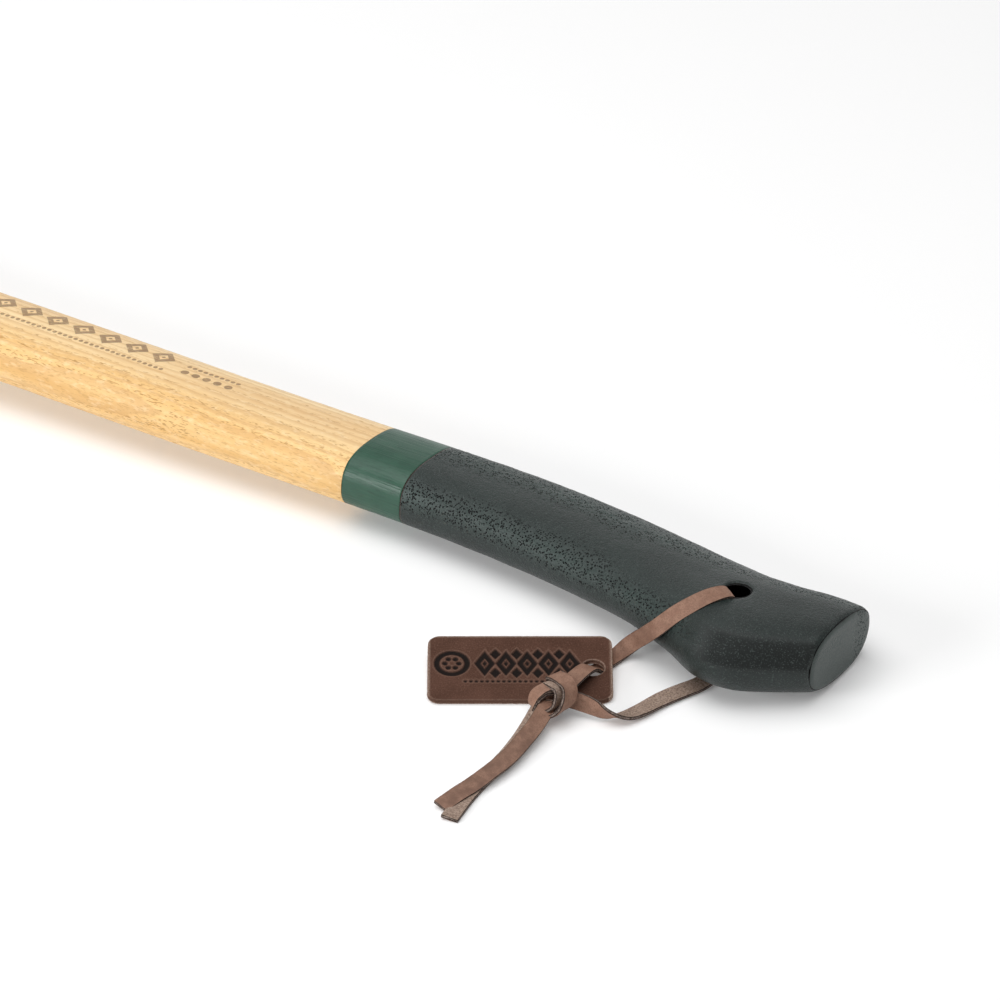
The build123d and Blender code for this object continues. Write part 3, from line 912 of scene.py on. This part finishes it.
# -------------------- hang tag
def rounded_outline(inset, per_corner=12, per_side=46):
    """The tag's outline, drawn in by inset, with as many points for any inset."""
    radius = TAG_CORNER - inset
    points = []
    near, far_x, far_y = TAG_CORNER, TAG_LENGTH - TAG_CORNER, TAG_WIDTH - TAG_CORNER
    corners = [(far_x, near, -90), (far_x, far_y, 0), (near, far_y, 90), (near, near, 180)]
    for x, y, start in corners:
        for k in range(per_corner + 1):
            turn = math.radians(start + 90 * k / per_corner)
            points.append((x + radius * math.cos(turn), y + radius * math.sin(turn)))
    full = []
    for a, b in zip(points, points[1:] + points[:1]):
        pieces = per_side if math.dist(a, b) > 0.01 else 1
        start, way = np.array(a), np.array(b) - np.array(a)
        full += [tuple(start + way * k / pieces) for k in range(pieces)]
    return full


def hole_outline(grow, count=48):
    """The outline of the tag's hole, made larger by grow."""
    turns = [math.tau * k / count for k in range(count)]
    radius = TAG_HOLE_RADIUS + grow
    return [(TAG_HOLE[0] + radius * math.cos(t), TAG_HOLE[1] + radius * math.sin(t)) for t in turns]


def ornament(x, y):
    """Signed distance to the pressed ornament, in metres, less than 0 inside it."""

    def lozenge(cx, cy, wide, high):
        return (abs(x - cx) / wide + abs(y - cy) / high - 1) * min(wide, high) * 0.8

    middle, pitch = 0.0172, 0.007
    rosette_x, ring_radius, ring_half = 0.008, 0.005, 0.0009
    petal_reach, petal_radius = 0.0023, 0.0009
    best = abs(math.hypot(x - rosette_x, y - middle) - ring_radius) - ring_half
    for k in range(6):
        turn = k * math.pi / 3
        cx, cy = rosette_x + petal_reach * math.cos(turn), middle + petal_reach * math.sin(turn)
        best = min(best, math.hypot(x - cx, y - cy) - petal_radius)
    for k in range(5):
        outer = lozenge(0.0188 + k * pitch, middle, 0.0034, 0.0058)
        best = min(best, max(outer, -(outer + 0.0016)), outer + 0.0021)
    for k in range(4):
        for way in (-1, 1):
            small = lozenge(0.0223 + k * pitch, middle + way * 0.0044, 0.0018, 0.0024)
            best = min(best, small)
    dots_start, dots_pitch, dots_y, dots_radius = 0.0125, 0.0018, 0.0088, 0.00055
    for k in range(20):
        best = min(best, math.hypot(x - dots_start - k * dots_pitch, y - dots_y) - dots_radius)
    return best


def tag_edge(x, y):
    """How far a point of the tag is from its outline, rounded corners included."""
    dx = max(abs(x - TAG_LENGTH / 2) - (TAG_LENGTH / 2 - TAG_CORNER), 0)
    dy = max(abs(y - TAG_WIDTH / 2) - (TAG_WIDTH / 2 - TAG_CORNER), 0)
    clear = TAG_CORNER - math.hypot(dx, dy) if dx or dy else 1
    return min(clear, x, y, TAG_LENGTH - x, TAG_WIDTH - y)


def make_tag():
    """The tag: a top face with the pressed ornament, the cut side and the underside."""
    outline, hole = rounded_outline(TAG_INSET), hole_outline(TAG_INSET)
    inner = []
    for i in range(int(TAG_LENGTH / TAG_STEP)):
        for j in range(int(TAG_WIDTH / TAG_STEP)):
            x, y = (i + 0.5 + 0.25 * (j % 2)) * TAG_STEP, (j + 0.5) * TAG_STEP
            off_edge = tag_edge(x, y) > TAG_INSET + TAG_STEP * 0.6
            off_hole = math.dist((x, y), TAG_HOLE) > TAG_HOLE_RADIUS + TAG_INSET + TAG_STEP * 0.6
            if off_edge and off_hole:
                inner.append((x, y))
    flat = [Vector(p) for p in outline + hole + inner]
    n_out, n_hole = len(outline), len(hole)
    loops = [list(range(n_out)), list(reversed(range(n_out, n_out + n_hole)))]
    sheet, _, triangles, origin, _, _ = delaunay_2d_cdt(flat, [], loops, 2, 1e-7)
    order = {o[0]: i for i, o in enumerate(origin)}
    faces = []
    for t in triangles:
        middle = np.mean([sheet[i] for i in t], axis=0)
        if math.dist(middle, TAG_HOLE) > TAG_HOLE_RADIUS + 0.0005:
            faces.append(tuple(t))
    points, rims, pressed, halo = [], [], [], []
    for p in sheet:
        gap = ornament(p.x, p.y)
        press = clipped(0.5 - gap / 0.0003)
        ring = math.exp(-(((gap - 0.00038) / 0.00022) ** 2))
        spot = Vector((p.x, p.y, 0))
        grain = noise.noise(spot * TAG_GRAIN[0]) * TAG_GRAIN[1]
        lift = grain + noise.noise(spot * TAG_SWELL[0]) * TAG_SWELL[1]
        low = TAG_THICK + lift - TAG_SINK - TAG_PRESS * press
        points.append((p.x, p.y, low + TAG_RIDGE * ring))
        edge = min(p.x, p.y, TAG_LENGTH - p.x, TAG_WIDTH - p.y)
        # Painted shade: the top face's edge on the near side gets no pale rim.
        rims.append(0.35 * max(0.0, 1 - (edge - TAG_INSET) / 0.0004) * (p.y > TAG_SHADED_NEAR))
        pressed.append(press)
        halo.append(ring)

    def cut_side(loop_of, first_loop, turned):
        """Rings from the top's edge round the cut side to the underside."""
        previous = first_loop
        for inset, depth, rim in TAG_SIDE:
            ids = []
            for x, y in loop_of(inset):
                rag = noise.noise(Vector((x, y, depth)) * TAG_RAG[0]) * TAG_RAG[1]
                way = Vector((x - TAG_LENGTH / 2, y - TAG_WIDTH / 2)).normalized() * rag
                ids.append(len(points))
                points.append((x + way.x, y + way.y, TAG_THICK - depth))
                shown = 0.9 * (x > TAG_LENGTH - 0.0015)
                # Painted shade: on the near side the pale cut is mostly darkened like the face,
                # outside the pale right-hand end.
                rims.append(max(shown, rim * (0.3 if y < TAG_SHADED_NEAR and depth < 0.0015 else 1.0)))
                pressed.append(0.0)
                halo.append(0.0)
            for k in range(len(ids)):
                m = (k + 1) % len(ids)
                quad = (previous[k], ids[k], ids[m], previous[m])
                faces.append(tuple(reversed(quad)) if turned else quad)
            previous = ids
        return previous

    low_out = cut_side(rounded_outline, [order[i] for i in range(n_out)], False)
    low_hole = cut_side(hole_outline, [order[n_out + i] for i in range(n_hole)], True)
    ids = low_out + low_hole
    under = [Vector(points[i][:2]) for i in ids]
    _, _, triangles, origin, _, _ = delaunay_2d_cdt(under, [], loops, 2, 1e-7)
    back = [ids[o[0]] for o in origin]
    for t in triangles:
        middle = np.mean([points[back[i]][:2] for i in t], axis=0)
        if math.dist(middle, TAG_HOLE) > TAG_HOLE_RADIUS:
            faces.append(tuple(back[i] for i in reversed(t)))
    tag = make_piece("leather_tag", points, faces, "tag", TAG)
    set_mark(tag, "rim", rims)
    set_mark(tag, "pressed", pressed)
    set_mark(tag, "halo", halo)
    tag.data.materials.append(tag_surface())
    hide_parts("hang_tag")


# -------------------- parts kept from CAD
def dress(node, material):
    """Gives a CAD node a better material."""
    data = frame["nodes"][node].data
    data.materials.clear()
    data.materials.append(material)


def dress_parts():
    """The haft, the wedges and the head, which keep their CAD shapes."""
    dress("haft", wood_surface("ash", painted_bore_shade=True))
    dress("wooden_wedge", wood_surface("wedge_ash"))
    dress("adze_head", steel_surface("forged_steel"))
    dress("ring_wedge", steel_surface("ring_steel", forged=False))


# -------------------- studio
def make_camera():
    """The scene's camera, on its line of sight."""
    data = bpy.data.cameras.new("camera")
    data.lens = CAMERA_LENS
    data.sensor_width = 36.0
    data.clip_start, data.clip_end = 0.05, 50.0
    camera = add_object("camera", data)
    across, up = math.cos(CAMERA_ELEVATION), math.sin(CAMERA_ELEVATION)
    back = Vector((math.sin(CAMERA_AZIMUTH) * across, -math.cos(CAMERA_AZIMUTH) * across, up))
    camera.location = CAMERA_TARGET + back * CAMERA_DISTANCE
    camera.rotation_euler = (-back).to_track_quat("-Z", "Y").to_euler()
    bpy.context.scene.camera = camera


def area_light(name, place, size, power):
    """A rectangular light that faces LIGHT_TARGET."""
    data = bpy.data.lights.new(name, "AREA")
    data.shape = "RECTANGLE"
    data.size, data.size_y = size
    data.energy = power
    light = add_object(name, data)
    light.location = place
    way = Vector(LIGHT_TARGET) - Vector(place)
    light.rotation_euler = way.to_track_quat("-Z", "Y").to_euler()


def make_studio():
    """The sky, the lights and a plain pale floor."""
    white = colour(1.0, 1.0, 1.0)
    world = bpy.data.worlds.new("studio")
    world.use_nodes = True
    tree = world.node_tree
    sky = tree.nodes["Background"]
    ways = tree.nodes.new("ShaderNodeTexCoord").outputs["Generated"]
    split = tree.nodes.new("ShaderNodeSeparateXYZ")
    tree.links.new(ways, split.inputs["Vector"])
    fade = tree.nodes.new("ShaderNodeMapRange")
    fade.interpolation_type = "SMOOTHSTEP"
    for socket, value in SKY.items():
        fade.inputs[socket].default_value = value
    tree.links.new(split.outputs["Y"], fade.inputs["Value"])
    sky.inputs["Color"].default_value = white
    tree.links.new(fade.outputs["Result"], sky.inputs["Strength"])
    bpy.context.scene.world = world
    bpy.context.scene.view_settings.view_transform = "Standard"
    for light in LIGHTS:
        area_light(*light)
    half = FLOOR_HALF
    corners = [(-half, -half, 0), (half, -half, 0), (half, half, 0), (-half, half, 0)]
    mesh = bpy.data.meshes.new("floor")
    mesh.from_pydata(corners, [], [(0, 1, 2, 3)])
    floor = add_object("floor", mesh)
    paper = Surface("paper", Roughness=0.9, Emission_Color=white, Emission_Strength=FLOOR_GLOW)
    tone = paper.noise(paper.place(), 3.0)
    paper.set("Base Color", paper.mix(tone, colour(0.86, 0.86, 0.86), colour(0.88, 0.88, 0.88)))
    mesh.materials.append(paper.material)


make_camera()
make_studio()
make_lanyard()
make_tag()
make_grip()
make_band()
dress_parts()
